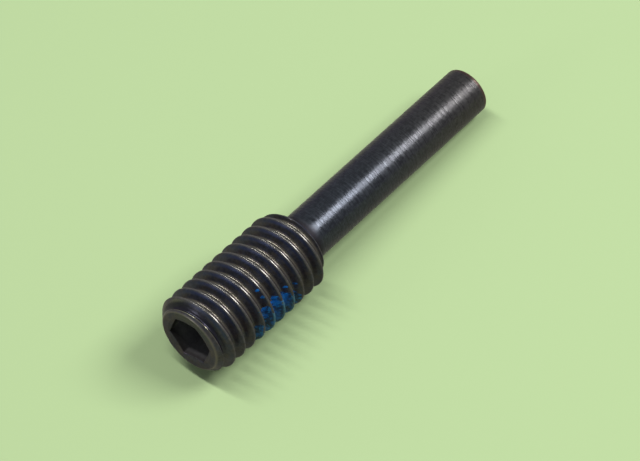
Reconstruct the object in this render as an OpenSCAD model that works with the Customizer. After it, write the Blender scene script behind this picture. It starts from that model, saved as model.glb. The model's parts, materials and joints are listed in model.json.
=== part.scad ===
// Headless clamp bolt: a threaded body with a hex socket in one end and a long plain pin on the other.
// It lies as it comes to rest on a flat surface, on its last full thread crest and the edge of its tip.
// Millimetres. Local axis +X runs from the socket face to the tip. Clock angles go from +Y towards +Z.

/* [Thread] */
// Diameter over the thread crests
thread_d = 4.86; // [4.4:0.01:6.2]
// Pitch of the single-start right-hand thread
pitch = 0.8; // [0.5:0.05:1]
// Width of the rounded crest
crest_w = 0.11; // [0.05:0.01:0.16]
// Width of the rounded root
root_w = 0.18; // [0.08:0.01:0.24]
// How far the rounding drops the edges of the crest, and lifts those of the root
round_drop = 0.025; // [0.005:0.005:0.05]
// Clock angle at which the first crest passes the crest offset
thread_clock = 120; // [0:1:360]
// Distance of that crest from the socket face
crest_offset = 0.75; // [0:0.01:0.8]

/* [Body] */
// Length from the socket face to the shoulder
body_l = 8.66; // [7:0.01:14]
// Diameter of the flat socket face
face_d = 3.78; // [3.4:0.01:4.2]
// Length of the chamfer beside the socket face
rim_l = 0.59; // [0.2:0.01:1.2]
// Diameter of the flat shoulder
shoulder_d = 3.96; // [3.5:0.01:4.2]
// Length of the chamfer beside the shoulder
shoulder_l = 0.38; // [0.2:0.01:1.2]

/* [Pin] */
// Diameter of the plain pin
pin_d = 2.88; // [2:0.01:3.5]
// Length of the pin from the shoulder to the tip
pin_l = 15.05; // [10:0.05:24]
// Fillet where the pin meets the shoulder
neck_r = 0.15; // [0.05:0.01:0.2]
// Edge break at the tip
tip_edge = 0.08; // [0.03:0.01:0.3]

/* [Socket] */
// Width across the flats of the hex socket
socket_af = 2.5; // [1.8:0.1:2.6]
// Depth of the hexagon
socket_l = 2.6; // [1.5:0.1:4]
// Clock angle of one corner of the hexagon
socket_clock = 170; // [0:1:360]
// How much wider the countersunk mouth is than the hexagon is over its corners
mouth_over = 0.07; // [0.02:0.01:0.3]
// Included angle of the countersunk mouth
mouth_angle = 150; // [60:5:160]
// How much narrower the drilled pilot hole is than the flats are apart
pilot_under = 0.12; // [0.05:0.01:0.5]
// How much deeper than the hexagon the side wall of the pilot hole goes
pilot_over = 0.5; // [0.1:0.1:1.5]
// Included angle of the drill point
drill_angle = 118; // [90:1:140]

/* [Hidden] */

thread_r = thread_d / 2;
face_r = face_d / 2;
shoulder_r = shoulder_d / 2;
pin_r = pin_d / 2;
total_l = body_l + pin_l;

corner_r = socket_af / 2 / cos(30);
mouth_r = corner_r + mouth_over / 2;
pilot_r = (socket_af - pilot_under) / 2;
pilot_l = socket_l + pilot_over;

// 60 degree thread: each flank climbs at 60 degrees to the axis between the crest and the root.
flank_run = (pitch - crest_w - root_w) / 2;
root_r = thread_r - flank_run * tan(60) - 2 * round_drop;
crest_edge = crest_w / 2;
root_edge = pitch / 2 - root_w / 2;

// Radius of the thread against the distance along the axis from the middle of a crest.
thread_form = [
    [0, thread_r],
    [crest_edge, thread_r - round_drop],
    [root_edge, root_r + round_drop],
    [pitch / 2, root_r]
];
// The corners of the form along one pitch, from crest to crest.
form_steps = [0, crest_edge, root_edge, pitch / 2, pitch - root_edge, pitch - crest_edge];
steps = len(form_steps);
// Sides of a turn: the middle of one is right under the bolt, so it rests on a side and not on a corner.
turn_sides = 30;
side_drop = cos(180 / turn_sides);

// The threaded bar is longer than the body at both ends, and the blank trims it.
bar_over = pitch / 2;
bar_start = -bar_over;
bar_end = body_l + bar_over;
bar_turns = ceil((bar_end - bar_start) / pitch);
bar_rows = steps * (bar_turns + 3) + 1;

// The blank's barrel stands clear of the crests, so only its two chamfers and its ends cut the thread.
blank_clear = 0.06;
blank_r = thread_r + blank_clear;
rim_slope = (thread_r - face_r) / rim_l;
shoulder_slope = (thread_r - shoulder_r) / shoulder_l;

// Rest on a flat surface: crests under the bolt, each no wider than the blank leaves it there.
under = 270;
first_under = crest_offset + pitch * ((under - thread_clock) / 360 - floor((under - thread_clock) / 360));
under_crests = [for (x = [first_under : pitch : body_l]) x];
function crest_r(x) = min(thread_r * side_drop, shoulder_r + (body_l - x) * shoulder_slope);
rest_slopes = [for (x = under_crests) (crest_r(x) - pin_r) / (total_l - tip_edge - x)];
rest_tilt = atan(max(rest_slopes));
rest_lift = (total_l - tip_edge) * sin(rest_tilt) + pin_r * cos(rest_tilt);
rest_shift = (total_l * cos(rest_tilt) + (pin_r - tip_edge - face_r) * sin(rest_tilt)) / 2;

// Distance along the axis from a place on the bar to the nearest crest, at one side of the turn.
function from_crest(x, side) =
    let (turns = (x - crest_offset) / pitch - (360 * side / turn_sides - thread_clock) / 360)
    abs(turns - round(turns)) * pitch;

// Each side of the turn starts a little further along the axis, so the rows follow the helix.
// Rows past either end of the bar gather in one point on its end face.
function bar_x(side, row) =
    let (lead = crest_offset - thread_clock / 360 * pitch)
    let (first = lead - pitch * ceil((lead - bar_start) / pitch + 1))
    let (x = first + pitch * (side / turn_sides + floor(row / steps)) + form_steps[row % steps])
    min(max(x, bar_start), bar_end);

function bar_point(side, row) =
    let (x = bar_x(side, row))
    let (r = lookup(from_crest(x, side), thread_form))
    let (a = 360 * side / turn_sides)
    [x, r * cos(a), r * sin(a)];

// After a whole turn the rows meet those that start one pitch further along.
function bar_index(side, row) =
    side < turn_sides
        ? side * bar_rows + min(row, bar_rows - 1)
        : min(row + steps, bar_rows - 1);

module along_x() {
    rotate([90, 0, 90]) children();
}

module threaded_bar() {
    points = [for (side = [0 : turn_sides - 1]) for (row = [0 : bar_rows - 1]) bar_point(side, row)];
    flanks = [
        for (side = [0 : turn_sides - 1])
            for (row = [0 : bar_rows - 2])
                for (half = [0, 1])
                    half == 0
                        ? [bar_index(side, row), bar_index(side, row + 1), bar_index(side + 1, row)]
                        : [bar_index(side + 1, row), bar_index(side, row + 1), bar_index(side + 1, row + 1)]
    ];
    start_face = [for (side = [0 : turn_sides - 1]) bar_index(side, 0)];
    end_face = [for (side = [turn_sides - 1 : -1 : 0]) bar_index(side, bar_rows - 1)];
    polyhedron(points, concat(flanks, [start_face], [end_face]), convexity = 4);
}

module blank() {
    outline = [
        [0, 0],
        [face_r, 0],
        [blank_r, (blank_r - face_r) / rim_slope],
        [blank_r, body_l - (blank_r - shoulder_r) / shoulder_slope],
        [shoulder_r, body_l],
        [0, body_l]
    ];
    along_x() rotate_extrude($fn = 96) polygon(outline);
}

module threaded_body() {
    intersection() {
        threaded_bar();
        blank();
    }
}

// The pin starts inside the body, so that the two are one piece.
module pin() {
    sunk = body_l / 4;
    along_x() translate([0, 0, body_l - sunk]) cylinder(h = pin_l + sunk - tip_edge, r = pin_r, $fn = 96);
    along_x() translate([0, 0, total_l - tip_edge])
        cylinder(h = tip_edge, r1 = pin_r, r2 = pin_r - tip_edge, $fn = 96);
    neck_fillet();
}

module neck_fillet() {
    root = neck_r / 2;
    along_x() translate([0, 0, body_l]) rotate_extrude($fn = 96) difference() {
        translate([pin_r - root, -root]) square(neck_r + root);
        translate([pin_r + neck_r, neck_r]) circle(r = neck_r, $fn = 48);
    }
}

module socket() {
    mouth_l = mouth_r / tan(mouth_angle / 2);
    point_l = pilot_r / tan(drill_angle / 2);
    open = 0.2;
    along_x() {
        rotate([0, 0, socket_clock]) translate([0, 0, -open])
            cylinder(h = socket_l + open, r = corner_r, $fn = 6);
        translate([0, 0, -open]) cylinder(h = pilot_l + open, r = pilot_r, $fn = 64);
        translate([0, 0, pilot_l]) cylinder(h = point_l, r1 = pilot_r, r2 = 0, $fn = 64);
        translate([0, 0, -open])
            cylinder(h = mouth_l + open, r1 = mouth_r + open * tan(mouth_angle / 2), r2 = 0, $fn = 64);
    }
}

module bolt() {
    color([0.20, 0.20, 0.21])
    translate([-rest_shift, 0, rest_lift]) rotate([0, rest_tilt, 0]) difference() {
        union() {
            threaded_body();
            pin();
        }
        socket();
    }
}

bolt();
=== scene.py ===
"""Black-oxide clamp bolt: a threaded body with a hex socket, a long plain pin and worn blue thread-lock.

Lengths are millimetres along the bolt's own axis, which runs from the socket face to the tip. Clock
angles turn round that axis, from ACROSS towards ABOVE. Blender works in metres, so lengths pass
through MM on their way out.
"""

import json
import math

import bmesh
import bpy
import numpy as np
from mathutils import Matrix, Vector, noise


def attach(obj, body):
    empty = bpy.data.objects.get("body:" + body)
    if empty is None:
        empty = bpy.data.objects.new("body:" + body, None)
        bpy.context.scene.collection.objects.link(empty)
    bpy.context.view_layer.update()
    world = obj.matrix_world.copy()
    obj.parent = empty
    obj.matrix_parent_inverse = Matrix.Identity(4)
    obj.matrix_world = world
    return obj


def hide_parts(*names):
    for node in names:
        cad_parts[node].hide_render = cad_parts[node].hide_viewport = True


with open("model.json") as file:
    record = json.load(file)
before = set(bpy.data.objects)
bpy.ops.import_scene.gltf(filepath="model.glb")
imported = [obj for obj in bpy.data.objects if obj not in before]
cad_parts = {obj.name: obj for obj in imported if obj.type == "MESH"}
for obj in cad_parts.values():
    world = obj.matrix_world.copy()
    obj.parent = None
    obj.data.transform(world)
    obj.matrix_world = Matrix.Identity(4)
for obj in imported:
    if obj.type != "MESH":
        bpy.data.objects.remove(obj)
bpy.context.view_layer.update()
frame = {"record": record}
MM = 0.001
BODY = "root"

# ---- Dimensions of the bolt, as in the part's source -----------------------------------------------
THREAD_R = 2.43
PITCH = 0.8
THREAD_CLOCK = 120.0
CREST_OFFSET = 0.75
BODY_L = 8.66
FACE_R = 1.89
RIM_L = 0.59
SHOULDER_R = 1.98
SHOULDER_L = 0.38
PIN_R = 1.44
TOTAL_L = 23.71
NECK_R = 0.15
SOCKET_AF = 2.5
SOCKET_L = 2.6
SOCKET_CLOCK = 170.0
MOUTH_OVER = 0.035
MOUTH_HALF_ANGLE = 75
PILOT_R = 1.19
PILOT_L = 3.1
DRILL_HALF_ANGLE = 59

RIM_SLOPE = (THREAD_R - FACE_R) / RIM_L
SHOULDER_SLOPE = (THREAD_R - SHOULDER_R) / SHOULDER_L
CORNER_R = SOCKET_AF / 2 / math.cos(math.radians(30))
MOUTH_R = CORNER_R + MOUTH_OVER
MOUTH_SLOPE = math.tan(math.radians(MOUTH_HALF_ANGLE))
DRILL_POINT_L = PILOT_R / math.tan(math.radians(DRILL_HALF_ANGLE))

# ---- Finer form of the edges, which only the looks need --------------------------------------------
FLANK_SLOPE = math.tan(math.radians(60))
CREST_HALF = 0.05
CREST_BLEND = 0.06
ROOT_R = THREAD_R - 0.49
ROOT_BLEND = 0.16
CHAMFER_BLEND = 0.05
EDGE_R = 0.05
FACE_FLAT_R = 1.85
FACE_EDGE_POWER = 1.9
TIP_ROUND = 0.09
HEX_BLEND = 0.03
MOUTH_BLEND = 0.02
MOUTH_L = 0.16

# ---- Fineness of the mesh --------------------------------------------------------------------------
SIDES = 180
# rows of points in one pitch, by distance from the crest's middle: closest over crest and root
CREST_ROWS = np.linspace(-0.10, 0.10, 17)
FLANK_ROWS = np.array([0.13, 0.17, 0.21, 0.235, 0.26])
ROOT_ROWS = np.linspace(0.28, 0.52, 15)
PITCH_ROWS = np.concatenate([CREST_ROWS, FLANK_ROWS, ROOT_ROWS, PITCH - FLANK_ROWS[::-1]])
# a ring this close to an edge, or a few times as far, keeps the shading beside the edge crisp
HOLD = 0.01
# the points of a ring this small weld into one
CLOSED_R = 1e-6
WELD_M = 2e-9
SHARP_ANGLE = 50


# ---- The bolt's own frame --------------------------------------------------------------------------
def mount(name):
    return next(m for m in frame["record"]["mounts"] if m["name"] == name)


SOCKET_MOUTH = Vector(mount("socket")["pos_m"])
AXIS = -Vector(mount("socket")["axis"]).normalized()
ACROSS = Vector((0, 1, 0))
ABOVE = AXIS.cross(ACROSS)
AXES = np.array([AXIS, ACROSS, ABOVE])
CLOCKS = np.arange(SIDES) * 360.0 / SIDES


def at_clock(degrees):
    """Unit vector square to the axis, at a clock angle."""
    a = math.radians(degrees)
    return ACROSS * math.cos(a) + ABOVE * math.sin(a)


def in_frame(along, radius, clocks):
    """Points in the shared frame from arrays of distance along the axis, radius and clock angle."""
    a = np.radians(clocks)
    local = np.stack([along, radius * np.cos(a), radius * np.sin(a)], axis=-1)
    return local * MM @ AXES + np.array(SOCKET_MOUTH)


# ---- Section of the surface ------------------------------------------------------------------------
def smooth_min(a, b, blend):
    h = np.maximum(blend - np.abs(a - b), 0) / blend
    return np.minimum(a, b) - h * h * blend / 4


def smooth_max(a, b, blend):
    return -smooth_min(-a, -b, blend)


def from_crest(along, clocks):
    """Distance along the axis from the nearest crest's middle, below zero on its head side."""
    turns = (along - CREST_OFFSET) / PITCH - (clocks - THREAD_CLOCK) / 360
    return (turns - np.round(turns)) * PITCH


def thread_radius(along, clocks):
    """60 degree thread with narrow rounded crests and a rounded root."""
    flank = THREAD_R + (CREST_HALF - np.abs(from_crest(along, clocks))) * FLANK_SLOPE
    top = smooth_min(THREAD_R, flank, CREST_BLEND)
    return smooth_max(top, ROOT_R, ROOT_BLEND)


def body_radius(along, clocks):
    """The thread, cut by the chamfer at the face and the one at the shoulder."""
    rim = FACE_R + along * RIM_SLOPE
    shoulder = SHOULDER_R + (BODY_L - along) * SHOULDER_SLOPE
    behind_rim = smooth_min(thread_radius(along, clocks), rim, CHAMFER_BLEND)
    return smooth_min(behind_rim, shoulder, CHAMFER_BLEND)


def hex_radius(clocks):
    """The socket's wall, with its corners slightly rounded."""
    radius = np.full(np.shape(clocks), np.inf)
    for k in range(6):
        off_flat = np.radians(clocks - SOCKET_CLOCK - 30 - 60 * k)
        flat = SOCKET_AF / 2 / np.maximum(np.cos(off_flat), 0.1)
        radius = smooth_min(radius, flat, HEX_BLEND)
    return radius


# ---- Mesh building ---------------------------------------------------------------------------------
def thread_grid(first, last):
    """Points whose rows follow the helix, cut off at first and last.

    Gives their distances along, their clock angles and the faces between them.
    """
    per_pitch = len(PITCH_ROWS)
    turns = math.ceil((last - first) / PITCH) + 3
    rows = per_pitch * turns
    crest = CREST_OFFSET - THREAD_CLOCK / 360 * PITCH
    start = crest - PITCH * math.ceil((crest - first) / PITCH + 1)
    row_start = (start + PITCH * np.arange(turns)[:, None] + PITCH_ROWS).reshape(-1)
    along = np.clip(row_start[None, :] + PITCH * CLOCKS[:, None] / 360, first, last)
    clocks = np.broadcast_to(CLOCKS[:, None], along.shape)
    index = np.arange(SIDES * rows).reshape(SIDES, rows)
    # after a full turn each row meets the one that started a pitch further on
    seam = index[0][np.minimum(np.arange(rows) + per_pitch, rows - 1)]
    index = np.vstack([index, seam])
    a, b = index[:-1, :-1], index[:-1, 1:]
    c, d = index[1:, 1:], index[1:, :-1]
    faces = np.stack([a, b, c, d], axis=-1).reshape(-1, 4)
    return along, clocks, faces


def ring_faces(count):
    """Faces between rings of SIDES points, each ring after the one before."""
    ring = np.arange(SIDES)
    following = (ring + 1) % SIDES
    faces = []
    for k in range(count - 1):
        a = k * SIDES + ring
        b = k * SIDES + following
        faces.append(np.stack([a, a + SIDES, b + SIDES, b], axis=-1))
    return np.concatenate(faces)


class Surface:
    """Collects grids of points, then joins those that touch into one mesh."""

    def __init__(self):
        self.points = []
        self.faces = []
        self.count = 0

    def add(self, points, faces):
        self.points.append(points.reshape(-1, 3))
        self.faces.append(faces + self.count)
        self.count += len(self.points[-1])

    def add_rings(self, rings):
        """Each ring is its distance along and its radius, which is a number or an array over CLOCKS."""
        ones = np.ones(SIDES)
        points = np.stack([in_frame(x * ones, r * ones, CLOCKS) for x, r in rings])
        self.add(points, ring_faces(len(rings)))

    def build(self, name, material):
        mesh = bpy.data.meshes.new(name)
        points = np.concatenate(self.points).tolist()
        faces = np.concatenate(self.faces).tolist()
        mesh.from_pydata(points, [], faces)
        work = bmesh.new()
        work.from_mesh(mesh)
        bmesh.ops.remove_doubles(work, verts=work.verts, dist=WELD_M)
        bmesh.ops.recalc_face_normals(work, faces=work.faces)
        work.to_mesh(mesh)
        work.free()
        mesh.materials.append(material)
        obj = bpy.data.objects.new(name, mesh)
        bpy.context.scene.collection.objects.link(obj)
        mesh.shade_smooth()
        mesh.set_sharp_from_angle(angle=math.radians(SHARP_ANGLE))
        return obj


# ---- The bolt --------------------------------------------------------------------------------------
def steps(count):
    """Fractions from 0 to 1."""
    return [k / count for k in range(count + 1)]


def quarter(count):
    """Angles over a quarter of a turn."""
    return [math.radians(90 * t) for t in steps(count)]


def face_rings(first):
    """From the chamfer, over a rounded edge, to the flat ring of the socket face."""
    edge = body_radius(np.full(SIDES, first), CLOCKS)
    rings = []
    for t in steps(8):
        rings.append((first * (1 - t) ** FACE_EDGE_POWER, edge + (FACE_FLAT_R - edge) * t))
    return rings + [(0, MOUTH_R + HOLD * 5)]


def socket_rings():
    """Shallow countersink, hexagon, its floor, and the pilot hole with its drill point."""
    flats = hex_radius(CLOCKS)
    rings = []
    for t in steps(14):
        cone = MOUTH_R - MOUTH_L * t * MOUTH_SLOPE
        rings.append((MOUTH_L * t, smooth_max(flats, cone, MOUTH_BLEND)))
    rings += [(MOUTH_L + HOLD * 2, flats), (SOCKET_L / 2, flats), (SOCKET_L - HOLD * 3, flats)]
    rings += [(SOCKET_L, flats - HOLD * 2), (SOCKET_L, PILOT_R + HOLD)]
    rings += [(SOCKET_L + HOLD * 2, PILOT_R), (PILOT_L, PILOT_R)]
    for t in steps(4)[1:]:
        rings.append((PILOT_L + DRILL_POINT_L * t, max(PILOT_R * (1 - t), CLOSED_R)))
    return rings


def shoulder_rings(last):
    """Rounded end of the thread, and the flat shoulder."""
    end = body_radius(np.full(SIDES, last), CLOCKS)
    rings = []
    for a in quarter(6):
        rings.append((last + EDGE_R * math.sin(a), end - EDGE_R * (1 - math.cos(a))))
    return rings + [(BODY_L, end - EDGE_R - HOLD), (BODY_L, PIN_R + NECK_R + HOLD)]


def pin_rings():
    """Neck fillet, plain pin, and its slightly rounded tip."""
    first = BODY_L + NECK_R
    last = TOTAL_L - TIP_ROUND
    rings = []
    for a in quarter(8):
        rings.append((BODY_L + NECK_R * (1 - math.cos(a)), PIN_R + NECK_R * (1 - math.sin(a))))
    for t in steps(24)[1:-1]:
        rings.append((first + (last - first) * t, PIN_R))
    for a in quarter(8):
        rings.append((last + TIP_ROUND * math.sin(a), PIN_R - TIP_ROUND * (1 - math.cos(a))))
    rings += [(TOTAL_L, PIN_R - TIP_ROUND - HOLD * 2), (TOTAL_L, PIN_R / 2), (TOTAL_L, CLOSED_R)]
    return rings


def make_bolt(material):
    surface = Surface()
    first = EDGE_R
    last = BODY_L - EDGE_R
    along, clocks, faces = thread_grid(first, last)
    surface.add(in_frame(along, body_radius(along, clocks), clocks), faces)
    surface.add_rings(face_rings(first) + socket_rings())
    surface.add_rings(shoulder_rings(last) + pin_rings())
    return surface.build("clamp_bolt", material)


# ---- Thread-lock -----------------------------------------------------------------------------------
PATCH_CLOCK = 208
PATCH_HALF = 50
PATCH_MIDDLE = 4.65
PATCH_REACH = 1.9
# stray spots: distance along, clock angle, size
SPOTS = [
    (3.84, 131, 0.07),
    (3.87, 143, 0.08),
    (3.19, 154, 0.07),
    (4.63, 160, 0.14),
    (5.45, 156, 0.07),
    (6.21, 166, 0.08),
]
# there is film where its cover is above zero: these are the peaks, and how far noise moves the edges
PATCH_COVER = 1.6
PATCH_RAGGED = 0.6
SPOT_COVER = 1.2
SPOT_RAGGED = 0.5
NOISE_STEP = 2.1
# film is looked for this far past the patch's ends, and between these clock angles
FRAY = 0.6
FILM_CLOCKS = (116, 276)
# thickness at full depth, and how far under the steel the skin goes where there is no film
FILM = 0.03
SUNK = 0.03
FILM_STEEPNESS = 1.6
# film is rubbed off the crests, from this much under their full radius
WORN_BELOW = 0.08
WORN_FADE = 0.06
WORN_DEPTH = 0.9
# faces of the skin that are all deeper than this are left out
DROP_DEPTH = -0.9


def film_cover(x, clock):
    """Above zero where film was put on: a ragged patch and its stray spots."""
    u = (x - PATCH_MIDDLE) / PATCH_REACH
    v = (clock - PATCH_CLOCK) / PATCH_HALF
    a = math.radians(clock)
    at = Vector((x, THREAD_R * math.cos(a), THREAD_R * math.sin(a)))
    cover = PATCH_COVER * (1 - u * u - v * v) + PATCH_RAGGED * noise.fractal(at * 2, 0.5, NOISE_STEP, 5)
    ragged = SPOT_RAGGED * noise.fractal(at * 4, 0.8, NOISE_STEP, 3)
    for spot_x, spot_clock, size in SPOTS:
        arc = math.radians(clock - spot_clock) * THREAD_R
        off = math.hypot(x - spot_x, arc) / size
        cover = max(cover, SPOT_COVER - off + ragged)
    return cover


def film_depth(along, clocks, metal):
    """1 at the film's full thickness, 0 at its edge, down to -1 where the skin is sunk in the steel."""
    near = (clocks > FILM_CLOCKS[0]) & (clocks < FILM_CLOCKS[1])
    cover = np.full(along.shape, -1.0)
    cover[near] = [film_cover(x, clock) for x, clock in zip(along[near], clocks[near])]
    worn_off = np.clip((metal - THREAD_R + WORN_BELOW) / WORN_FADE, 0, 1)
    return np.clip(cover * FILM_STEEPNESS - worn_off * WORN_DEPTH, -1, 1)


def make_patch(material):
    """The film as a skin over the thread, left in its grooves."""
    first = PATCH_MIDDLE - PATCH_REACH - FRAY
    last = PATCH_MIDDLE + PATCH_REACH + FRAY
    along, clocks, faces = thread_grid(first, last)
    metal = body_radius(along, clocks)
    depth = film_depth(along, clocks, metal)
    radius = metal + np.where(depth > 0, FILM * depth, SUNK * depth)
    keep = (depth.reshape(-1)[faces] > DROP_DEPTH).any(axis=1)
    faces = faces[keep]
    used = np.unique(faces)
    renumber = np.zeros(along.size, dtype=int)
    renumber[used] = np.arange(len(used))
    surface = Surface()
    surface.add(in_frame(along, radius, clocks).reshape(-1, 3)[used], renumber[faces])
    return surface.build("thread_lock_patch", material)


# ---- Nodes for the materials -----------------------------------------------------------------------
def rgb(*values):
    return (*values, 1)


class Nodes:
    """Short names for the nodes that the materials are made of."""

    def __init__(self, name):
        self.material = bpy.data.materials.new(name)
        self.material.use_nodes = True
        self.tree = self.material.node_tree
        self.shader = self.tree.nodes["Principled BSDF"]

    def new(self, kind, inputs, **settings):
        node = self.tree.nodes.new("ShaderNode" + kind)
        for key, value in settings.items():
            setattr(node, key, value)
        for key, value in inputs.items():
            self.feed(node.inputs[key], value)
        return node

    def feed(self, socket, value):
        if isinstance(value, bpy.types.NodeSocket):
            self.tree.links.new(value, socket)
        else:
            socket.default_value = value

    def math(self, operation, a, b=0.0):
        return self.new("Math", {0: a, 1: b}, operation=operation).outputs[0]

    def add(self, a, b):
        return self.math("ADD", a, b)

    def less(self, a, b):
        return self.math("SUBTRACT", a, b)

    def times(self, *factors):
        product = factors[0]
        for factor in factors[1:]:
            product = self.math("MULTIPLY", product, factor)
        return product

    def absolute(self, value):
        return self.math("ABSOLUTE", value)

    def flip(self, mask):
        """1 where the mask is 0, and the other way round."""
        return self.less(1.0, mask)

    def rise(self, value, low, high):
        """0 below low, 1 above high, smooth between."""
        node = self.new("MapRange", {0: value, 1: low, 2: high}, interpolation_type="SMOOTHSTEP")
        return node.outputs[0]

    def fall(self, value, low, high):
        """1 below low, 0 above high, smooth between."""
        return self.flip(self.rise(value, low, high))

    def band(self, value, middle, half):
        """1 at the middle, falling smoothly to 0 at half away."""
        return self.fall(self.absolute(self.less(value, middle)), 0.0, half)

    def mix(self, factor, a, b):
        """Between two colours, which are inputs 6 and 7 of a colour Mix."""
        return self.new("Mix", {0: factor, 6: a, 7: b}, data_type="RGBA").outputs[2]

    def lerp(self, factor, a, b):
        """Between two numbers, which are inputs 2 and 3 of a number Mix."""
        return self.new("Mix", {0: factor, 2: a, 3: b}, data_type="FLOAT").outputs[0]

    def scale(self, colour, factor):
        return self.new("VectorMath", {0: colour, 3: factor}, operation="SCALE").outputs[0]

    def vector(self, x, y, z):
        return self.new("CombineXYZ", {0: x, 1: y, 2: z}).outputs[0]

    def noise(self, vector, scale, detail=3.0, roughness=0.5):
        inputs = {"Vector": vector, "Scale": scale, "Detail": detail, "Roughness": roughness}
        return self.new("TexNoise", inputs).outputs["Fac"]

    def stretched(self, place, along, across):
        """The place scaled unevenly, so that a noise on it runs in rings."""
        x, y, z = place
        return self.vector(self.times(x, along), self.times(y, across), self.times(z, across))

    def bolt_space(self):
        """The bolt's own millimetres: along the axis, and the two across it."""
        here = self.new("TexCoord", {}).outputs["Object"]
        inputs = {0: here, 1: tuple(SOCKET_MOUTH)}
        shifted = self.new("VectorMath", inputs, operation="SUBTRACT").outputs[0]
        out = []
        for axis in (AXIS, ACROSS, ABOVE):
            dot = self.new("VectorMath", {0: shifted, 1: tuple(axis / MM)}, operation="DOT_PRODUCT")
            out.append(dot.outputs["Value"])
        return out

    def from_crest(self, place):
        """As from_crest above: distance along the axis from the nearest crest's middle."""
        along, y, z = place
        clock_turns = self.times(self.math("ARCTAN2", z, y), 1 / math.tau)
        turns = self.less(self.times(self.less(along, CREST_OFFSET), 1 / PITCH), clock_turns)
        turns = self.add(turns, THREAD_CLOCK / 360)
        return self.times(self.less(turns, self.math("ROUND", turns)), PITCH)

    def bump(self, height, distance, normal=None):
        inputs = {"Height": height, "Distance": distance}
        if normal is not None:
            inputs["Normal"] = normal
        return self.new("Bump", inputs).outputs[0]

    def finish(self, **sockets):
        """Feeds the shader's sockets, whose names have _ for each space, and gives the material."""
        for name, value in sockets.items():
            self.feed(self.shader.inputs[name.replace("_", " ")], value)
        return self.material


# ---- Steel -----------------------------------------------------------------------------------------
# where the finish changes: each pair is the start and the end of a change, along the axis or in radius
PIN_START = (BODY_L + 0.02, BODY_L + 0.10)
NECK_END = (BODY_L + 0.3, BODY_L + 0.9)
PIN_BROWNING = (BODY_L + 3.0, TOTAL_L)
CREST_TOP = (THREAD_R - 0.050, THREAD_R - 0.012)
CREST_SIDE = (THREAD_R - 0.22, THREAD_R - 0.12)
ROOT_FLOOR = (ROOT_R + 0.03, ROOT_R + 0.09)
ROOT_SIDE = (ROOT_R + 0.06, ROOT_R + 0.14)
FIRST_ROOT = (RIM_L, RIM_L + 0.1)
CHAMFER_END = (RIM_L - 0.15, RIM_L + 0.10)
CHAMFER_EDGE = (FACE_R - 0.06, FACE_R)
RIDGE_START = (0.04, 0.07)
FACE_DEPTH = (0.005, 0.020)
FACE_EDGE_DEPTH = (0.06, 0.12)
SOCKET_START = (0.03, 0.09)
SOCKET_EDGE = (MOUTH_R - 0.02, MOUTH_R + 0.10)
SOCKET_DEEPENING = (0.15, 0.80)
TIP_END = (TOTAL_L - 0.020, TOTAL_L - 0.005)
TIP_RIM_ALONG = (TOTAL_L - 0.30, TOTAL_L - 0.04)
TIP_RIM_OUT = (PIN_R - 0.30, PIN_R - 0.05)
# half widths of narrow bands, and how far before its crest each flank has its painted blue highlight
# fringe
RIDGE_HALF = 0.10
FACE_EDGE_HALF = 0.10
FRINGE_HALF = 0.09
FRINGE_BEFORE = 0.12
# how far the thread is under the chamfer's cone where the groove's painted shade is darkest
GROOVE_DEPTH = 0.08

# the rubbed crests and the other painted highlights show full on this side, where the lights fall, and a
# painted violet tint lies on the far side; each fade is of the cosine of the angle away from it
LIT_CLOCK = 103
LIT_FADE = (0.45, 0.90)
OFF_LIGHT_FADE = (0.50, 0.95)
LEAST_LIT = 0.15

# where a noise starts to make a patch, and where the patch is full
RING_PATCHES = (0.36, 0.64)
BODY_PATCHES = (0.35, 0.65)
SPECKLE_PATCHES = (0.30, 0.70)
CREST_PATCHES = (0.50, 1.00)
# how far noises darken and lighten what is under them
BLOTCH_SHADES = (0.75, 1.25)
SPECKLE_SHADES = (-0.25, 0.25)
RING_SHADES = (0.98, 1.03)
FACE_SHADES = (0.5, 1.5)
SOCKET_SHADES = (0.6, 1.4)
# how much of each layer shows, from least to most where a noise varies it
CREST_SHOWS = (0.6, 1.0)
FACE_SHOWS = (0.6, 1.0)
TIP_RIM_SHOWS = (0.32, 1.04)
GROOVE_SHOWS = 0.85
RIDGE_SHOWS = 0.90
FRINGE_SHOWS = 0.65
ROOT_SHOWS = 0.70
FACE_EDGE_SHOWS = 0.50

METALLIC = 0.75
EDGE_TINT = rgb(0.82, 0.66, 0.90)
PIN_BLUISH = rgb(0.023, 0.028, 0.032)
PIN_BROWNISH = rgb(0.033, 0.033, 0.030)
BODY_BLUISH = rgb(0.039, 0.043, 0.052)
BODY_BROWNISH = rgb(0.051, 0.047, 0.041)
# painted shade in the neck, where the pin meets the shoulder
NECK_PAINTED_SHADE = rgb(0.008, 0.008, 0.008)
# painted shade in the groove that the chamfer cuts through
GROOVE_PAINTED_SHADE = rgb(0.013, 0.014, 0.019)
# the ridge where the chamfer meets the thread: rubbed, and a painted highlight
RIDGE_WEAR_AND_HIGHLIGHT = rgb(0.170, 0.165, 0.105)
# a painted blue fringe beside the crest highlights
FLANK_PAINTED_FRINGE = rgb(0.015, 0.027, 0.070)
# rubbed crests, faded to the lit side: rubbing, and a painted highlight
CREST_WORN = rgb(0.103, 0.100, 0.086)
# burnished roots, faded to the lit side: burnish, and a painted highlight
ROOT_BURNISH_AND_HIGHLIGHT = rgb(0.112, 0.104, 0.072)
# the face's rubbed edge, lighter also as a painted highlight
FACE_EDGE_WEAR_AND_HIGHLIGHT = rgb(0.170, 0.155, 0.120)
SOCKET_DARK = rgb(0.024, 0.023, 0.021)
SOCKET_GREY = rgb(0.130, 0.130, 0.130)
TIP_BROWN = rgb(0.090, 0.050, 0.034)
# a violet tint on the side away from the lights: partly the oxide's bloom, partly painted to offset the
# floor's green reflection
VIOLET = (1.02, 0.87, 1.06)

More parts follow.
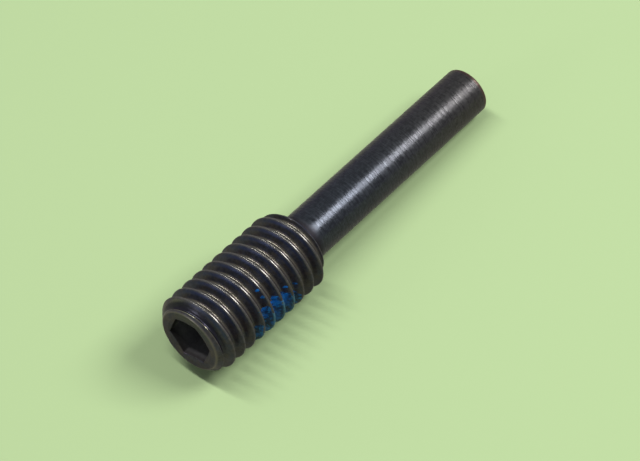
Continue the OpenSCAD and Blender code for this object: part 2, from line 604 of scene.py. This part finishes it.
OXIDE_ROUGHNESS = 0.33
NECK_SIDE_ROUGHNESS = 0.19
TIP_SIDE_ROUGHNESS = 0.24
RING_ROUGHNESS = 0.12
UNEVEN_ROUGHNESS = (-0.04, 0.08)
CREST_ROUGHNESS = 0.21
ROOT_ROUGHNESS = 0.23
CHAMFER_ROUGHNESS = 0.18
NECK_ROUGHER = 0.35
SOCKET_ROUGHER = 0.25
# how much of their own roughness these places show
ROOT_POLISH = 0.8
GROOVE_POLISH = 0.6
RIDGE_POLISH = 0.9
# heights of the turning marks and of the grain, in metres
MARK_M = 5e-6
GRAIN_M = 2.2e-6


class Steel(Nodes):
    """Black oxide on steel: worn on the crests, ringed by the lathe on the pin, brown at the tip's edge,
    with painted highlights on its lit side and painted shade at the neck and in the chamfer's groove.

    The find methods make masks, which are 1 where a layer lies and 0 elsewhere.
    """

    def __init__(self):
        super().__init__("bolt_steel")
        self.place = self.bolt_space()
        self.along, self.y, self.z = self.place
        across_squared = self.add(self.times(self.y, self.y), self.times(self.z, self.z))
        self.radius = self.math("SQRT", across_squared)
        self.on_pin = self.rise(self.along, *PIN_START)
        self.off_pin = self.flip(self.on_pin)
        self.toward_tip = self.rise(self.along, *PIN_BROWNING)
        self.make_noises()
        self.find_lit_side()
        self.find_chamfer()
        self.find_thread()
        self.find_ends()

    def make_noises(self):
        even = self.vector(*self.place)
        self.blotch = self.noise(even, scale=0.7, detail=4.0, roughness=0.6)
        self.cloud = self.noise(even, scale=2.1, detail=3.0, roughness=0.6)
        self.fine = self.noise(even, scale=6.0, detail=3.0, roughness=0.6)
        self.grain = self.noise(even, scale=20.0, detail=2.0)
        turned = self.stretched(self.place, along=8.0, across=0.6)
        self.rings = self.rise(self.noise(turned, scale=1.0, detail=3.0, roughness=0.6), *RING_PATCHES)

    def find_lit_side(self):
        """1 on the side that faces the lights' clock angle, falling to the least value on the far side;
        it fades the painted highlights.
        """
        wear_y = math.cos(math.radians(LIT_CLOCK))
        wear_z = math.sin(math.radians(LIT_CLOCK))
        toward_wear = self.add(self.times(self.y, wear_y), self.times(self.z, wear_z))
        self.facing = self.math("DIVIDE", toward_wear, self.radius)
        self.lit_side = self.lerp(self.rise(self.facing, *LIT_FADE), LEAST_LIT, 1.0)

    def find_chamfer(self):
        """The groove that the chamfer cuts through, which gets painted shade, and the ridge where it
        cuts into the thread, which gets a painted highlight.
        """
        self.off_crest = self.from_crest(self.place)
        below_peak = self.times(self.absolute(self.off_crest), FLANK_SLOPE)
        thread = self.less(THREAD_R + CREST_HALF * FLANK_SLOPE, below_peak)
        cone = self.add(FACE_R, self.times(self.along, RIM_SLOPE))
        above_cone = self.less(thread, cone)
        before_thread = self.fall(self.along, *CHAMFER_END)
        self.chamfer = self.times(before_thread, self.rise(self.radius, *CHAMFER_EDGE))
        # painted shade in the groove
        self.groove = self.times(self.chamfer, self.fall(above_cone, -GROOVE_DEPTH, 0.0))
        ridge = self.times(self.chamfer, self.rise(self.along, *RIDGE_START))
        # the ridge's painted highlight, faded to the lit side
        self.ridge = self.times(ridge, self.band(above_cone, 0.0, RIDGE_HALF), self.lit_side)

    def find_thread(self):
        """Rubbed crests, the roots between them, and the flank just before each crest: each faded to the
        lit side as a painted highlight, the flank's as a painted blue fringe.
        """
        patchy = self.rise(self.add(self.fine, self.times(self.blotch, 0.5)), *CREST_PATCHES)
        patchy = self.lerp(patchy, *CREST_SHOWS)
        # the rubbed crests, faded to the lit side as a painted highlight
        self.worn = self.times(self.rise(self.radius, *CREST_TOP), self.off_pin, patchy, self.lit_side)
        # the burnished roots, faded to the lit side: burnish, and a painted highlight
        floor = self.times(self.fall(self.radius, *ROOT_FLOOR), self.rise(self.along, *FIRST_ROOT))
        self.lit_root = self.times(floor, self.off_pin, self.lit_side)
        # the painted blue fringe beside the crest highlights, on the lit side
        flank = self.band(self.off_crest, -FRINGE_BEFORE, FRINGE_HALF)
        self.painted_fringe = self.times(flank, self.off_pin, self.lit_side, self.flip(self.chamfer))

    def find_ends(self):
        """The neck, darkened as painted shade, the face and its edge, the socket and the tip."""
        # painted shade where the pin meets the shoulder
        self.neck = self.times(self.fall(self.along, *NECK_END), self.on_pin)
        self.on_face = self.fall(self.along, *FACE_DEPTH)
        face_edge = self.band(self.radius, FACE_R, FACE_EDGE_HALF)
        self.face_edge = self.times(face_edge, self.fall(self.along, *FACE_EDGE_DEPTH))
        within_mouth = self.fall(self.radius, *SOCKET_EDGE)
        self.in_socket = self.times(self.rise(self.along, *SOCKET_START), within_mouth, self.off_pin)
        self.on_tip = self.rise(self.along, *TIP_END)
        near_tip = self.rise(self.along, *TIP_RIM_ALONG)
        shows = self.lerp(self.blotch, *TIP_RIM_SHOWS)
        self.tip_rim = self.times(near_tip, self.rise(self.radius, *TIP_RIM_OUT), shows)

    def overlay(self, colour, layer, *mask):
        """The layer over the colour, as strong as the product of the mask's factors."""
        return self.mix(self.times(*mask), colour, layer)

    def oxide(self):
        """Bluish, browner in places and towards the tip, mottled all over, and black at the neck with
        painted shade.
        """
        pin = self.mix(self.toward_tip, PIN_BLUISH, PIN_BROWNISH)
        body = self.mix(self.rise(self.cloud, *BODY_PATCHES), BODY_BLUISH, BODY_BROWNISH)
        speckle = self.lerp(self.rise(self.fine, *SPECKLE_PATCHES), *SPECKLE_SHADES)
        mottle = self.add(self.lerp(self.blotch, *BLOTCH_SHADES), speckle)
        ringed = self.lerp(self.times(self.rings, self.on_pin), *RING_SHADES)
        oxide = self.scale(self.mix(self.on_pin, body, pin), self.times(mottle, ringed))
        return self.overlay(oxide, NECK_PAINTED_SHADE, self.neck)

    def colour(self):
        """The oxide, with its worn and stained places and its painted highlights and shade laid over it
        one by one.
        """
        oxide = self.oxide()
        # painted shade, painted highlights and a painted fringe, then rubbed crests and burnished roots
        # faded to the lit side as painted highlights
        colour = self.overlay(oxide, GROOVE_PAINTED_SHADE, self.groove, GROOVE_SHOWS)
        colour = self.overlay(colour, RIDGE_WEAR_AND_HIGHLIGHT, self.ridge, RIDGE_SHOWS)
        colour = self.overlay(colour, FLANK_PAINTED_FRINGE, self.painted_fringe, FRINGE_SHOWS)
        colour = self.overlay(colour, CREST_WORN, self.worn)
        colour = self.overlay(colour, ROOT_BURNISH_AND_HIGHLIGHT, self.lit_root, ROOT_SHOWS)
        face = self.scale(oxide, self.lerp(self.cloud, *FACE_SHADES))
        colour = self.overlay(colour, face, self.on_face, self.lerp(self.cloud, *FACE_SHOWS))
        # the face's rubbed edge, partly a painted highlight
        colour = self.overlay(colour, FACE_EDGE_WEAR_AND_HIGHLIGHT, self.face_edge, FACE_EDGE_SHOWS)
        wall = self.mix(self.rise(self.along, *SOCKET_DEEPENING), SOCKET_DARK, SOCKET_GREY)
        wall = self.scale(wall, self.lerp(self.fine, *SOCKET_SHADES))
        colour = self.overlay(colour, wall, self.in_socket)
        colour = self.overlay(colour, TIP_BROWN, self.tip_rim)
        return self.violet_off_light(colour)

    def violet_off_light(self, colour):
        """Away from the lit side a violet tint is laid on: partly the oxide's bloom, partly painted to
        offset the floor's green reflection.
        """
        bloom = self.times(self.fall(self.facing, *OFF_LIGHT_FADE), self.flip(self.in_socket))
        violet = self.new("VectorMath", {0: colour, 1: VIOLET}, operation="MULTIPLY").outputs[0]
        return self.overlay(colour, violet, bloom)

    def marks(self):
        """Turning marks round the pin and on both ends, and grain on all but the crests and roots."""
        outward = self.stretched((self.radius, self.y, self.z), along=16.0, across=0.5)
        end_rings = self.noise(outward, scale=1.0, detail=2.0)
        ends = self.times(end_rings, self.add(self.on_face, self.on_tip))
        normal = self.bump(self.add(self.times(self.rings, self.on_pin), ends), MARK_M)
        below_crest = self.lerp(self.off_pin, 1.0, self.fall(self.radius, *CREST_SIDE))
        above_root = self.lerp(self.off_pin, 1.0, self.rise(self.radius, *ROOT_SIDE))
        return self.bump(self.times(self.grain, below_crest, above_root), GRAIN_M, normal)

    def roughness(self):
        """The pin is smoother than the thread's oxide, and the worn places are the smoothest."""
        pin = self.lerp(self.toward_tip, NECK_SIDE_ROUGHNESS, TIP_SIDE_ROUGHNESS)
        pin = self.add(pin, self.times(self.rings, RING_ROUGHNESS))
        rough = self.lerp(self.on_pin, OXIDE_ROUGHNESS, pin)
        rough = self.add(rough, self.lerp(self.fine, *UNEVEN_ROUGHNESS))
        rough = self.lerp(self.worn, rough, CREST_ROUGHNESS)
        rough = self.lerp(self.times(self.lit_root, ROOT_POLISH), rough, ROOT_ROUGHNESS)
        cut = self.add(self.times(self.groove, GROOVE_POLISH), self.times(self.ridge, RIDGE_POLISH))
        rough = self.lerp(cut, rough, CHAMFER_ROUGHNESS)
        dull = self.add(self.times(self.neck, NECK_ROUGHER), self.times(self.in_socket, SOCKET_ROUGHER))
        return self.add(rough, dull)


def steel_material():
    steel = Steel()
    return steel.finish(
        Base_Color=steel.colour(),
        Metallic=METALLIC,
        Roughness=steel.roughness(),
        Specular_Tint=EDGE_TINT,
        Normal=steel.marks(),
    )


# ---- Film and floor --------------------------------------------------------------------------------
FILM_DARK = rgb(0.003, 0.014, 0.050)
FILM_BLUE = rgb(0.003, 0.080, 0.310)
FILM_SPECK = rgb(0.008, 0.150, 0.370)
FILM_THIN = rgb(0.030, 0.078, 0.112)
# distances from the crest's middle: the film is thin up to the first, and full from the second
THIN_REACH = (0.05, 0.11)
# where a noise starts to turn the film blue or speckle it, and where it has
BLUE_PATCHES = (0.42, 0.62)
SPECK_PATCHES = (0.52, 0.74)
SPECK_SHOWS = 0.8
THIN_SHOWS = 0.8
FILM_BUMP_M = 6e-6
FLOOR_COLOUR = rgb(0.214, 0.288, 0.139)


def patch_material():
    """Dried blue thread-lock: matt, cloudy and thin enough in places to look almost black."""
    n = Nodes("thread_lock")
    place = n.bolt_space()
    even = n.vector(*place)
    cloud = n.noise(even, scale=2.2, detail=4.0, roughness=0.65)
    specks = n.noise(even, scale=7.0)
    colour = n.mix(n.rise(cloud, *BLUE_PATCHES), FILM_DARK, FILM_BLUE)
    colour = n.mix(n.times(n.rise(specks, *SPECK_PATCHES), SPECK_SHOWS), colour, FILM_SPECK)
    thin = n.fall(n.absolute(n.from_crest(place)), *THIN_REACH)
    colour = n.mix(n.times(thin, THIN_SHOWS), colour, FILM_THIN)
    normal = n.bump(n.noise(even, scale=10.0), FILM_BUMP_M)
    return n.finish(Base_Color=colour, Roughness=0.5, Specular_IOR_Level=0.15, Normal=normal)


def floor_material():
    return Nodes("floor").finish(Base_Color=FLOOR_COLOUR, Roughness=0.9)


# ---- Camera, floor and light -----------------------------------------------------------------------
IMAGE_W, IMAGE_H = 640, 461
LENS, SENSOR = 163.1, 36.0
# where the middle of the socket's mouth lies in the picture, and how far it is from the camera
MOUTH_PIXEL = (189.2, 341.05)
VIEW_DISTANCE = 152.45
# degrees by which the bolt's axis leans away into the picture, and by which it is turned in it
LEAN_AWAY = 30.19
TURN_IN_IMAGE = -42.17
NEAR_CLOCK = THREAD_CLOCK
SIDE_CLOCK = THREAD_CLOCK + 90
CLIP_NEAR_M = 0.005
CLIP_FAR_M = 5
FLOOR_HALF_M = 0.6
LIGHT_DISTANCE = 300
SKY_COLOUR = rgb(0.9, 0.92, 1.0)
SKY_STRENGTH = 0.42


def image_axes():
    """Right, down and into the picture, from how the bolt lies in it: NEAR_CLOCK faces the camera."""
    near, side = at_clock(NEAR_CLOCK), at_clock(SIDE_CLOCK)
    lean, turn = math.radians(LEAN_AWAY), math.radians(TURN_IN_IMAGE)
    flat = AXIS * math.cos(lean) + near * math.sin(lean)
    depth = AXIS * math.sin(lean) - near * math.cos(lean)
    right = flat * math.cos(turn) - side * math.sin(turn)
    down = flat * math.sin(turn) + side * math.cos(turn)
    return right, down, depth


def posed(obj, x, y, z, origin):
    """Puts an object there, with its own axes along x, y and z."""
    pose = Matrix((x, y, z)).transposed().to_4x4()
    pose.translation = origin
    obj.matrix_world = pose
    bpy.context.scene.collection.objects.link(obj)


def make_camera():
    right, down, depth = image_axes()
    pixels_per_mm = LENS / SENSOR * IMAGE_W / VIEW_DISTANCE
    x = (MOUTH_PIXEL[0] - IMAGE_W / 2) / pixels_per_mm
    y = (MOUTH_PIXEL[1] - IMAGE_H / 2) / pixels_per_mm
    camera = bpy.data.objects.new("camera", bpy.data.cameras.new("camera"))
    camera.data.lens = LENS
    camera.data.sensor_width = SENSOR
    camera.data.clip_start = CLIP_NEAR_M
    camera.data.clip_end = CLIP_FAR_M
    eye = SOCKET_MOUTH - (right * x + down * y + depth * VIEW_DISTANCE) * MM
    posed(camera, right, -down, -depth, eye)
    bpy.context.scene.camera = camera


def make_floor():
    half = FLOOR_HALF_M
    corners = [(-half, -half, 0), (half, -half, 0), (half, half, 0), (-half, half, 0)]
    mesh = bpy.data.meshes.new("floor")
    mesh.from_pydata(corners, [], [(0, 1, 2, 3)])
    mesh.materials.append(floor_material())
    floor = bpy.data.objects.new("floor", mesh)
    bpy.context.scene.collection.objects.link(floor)


def soft_light(name, along, near, side, width, height, power):
    """A softbox in that direction from the middle of the bolt, its width measured along the bolt."""
    middle = SOCKET_MOUTH + AXIS * TOTAL_L / 2 * MM
    toward = (AXIS * along + at_clock(NEAR_CLOCK) * near + at_clock(SIDE_CLOCK) * side).normalized()
    light = bpy.data.lights.new(name, "AREA")
    light.shape = "RECTANGLE"
    light.size = width * MM
    light.size_y = height * MM
    light.energy = power
    x = (AXIS - toward * AXIS.dot(toward)).normalized()
    origin = middle + toward * LIGHT_DISTANCE * MM
    posed(bpy.data.objects.new(name, light), x, toward.cross(x), toward, origin)


def make_world():
    world = bpy.data.worlds.new("studio")
    world.use_nodes = True
    background = world.node_tree.nodes["Background"]
    background.inputs["Color"].default_value = SKY_COLOUR
    background.inputs["Strength"].default_value = SKY_STRENGTH
    bpy.context.scene.world = world


bolt = make_bolt(steel_material())
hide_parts("bolt")
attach(bolt, BODY)
patch = make_patch(patch_material())
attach(patch, BODY)

make_camera()
make_floor()
make_world()
soft_light("key", along=0.38, near=0.925, side=0.0, width=150, height=115, power=1.25)
soft_light("crest_side", along=-0.20, near=0.72, side=-0.66, width=26, height=240, power=1.0)
soft_light("front", along=-0.93, near=0.05, side=-0.35, width=60, height=60, power=0.09)
bpy.context.scene.view_settings.view_transform = "Standard"
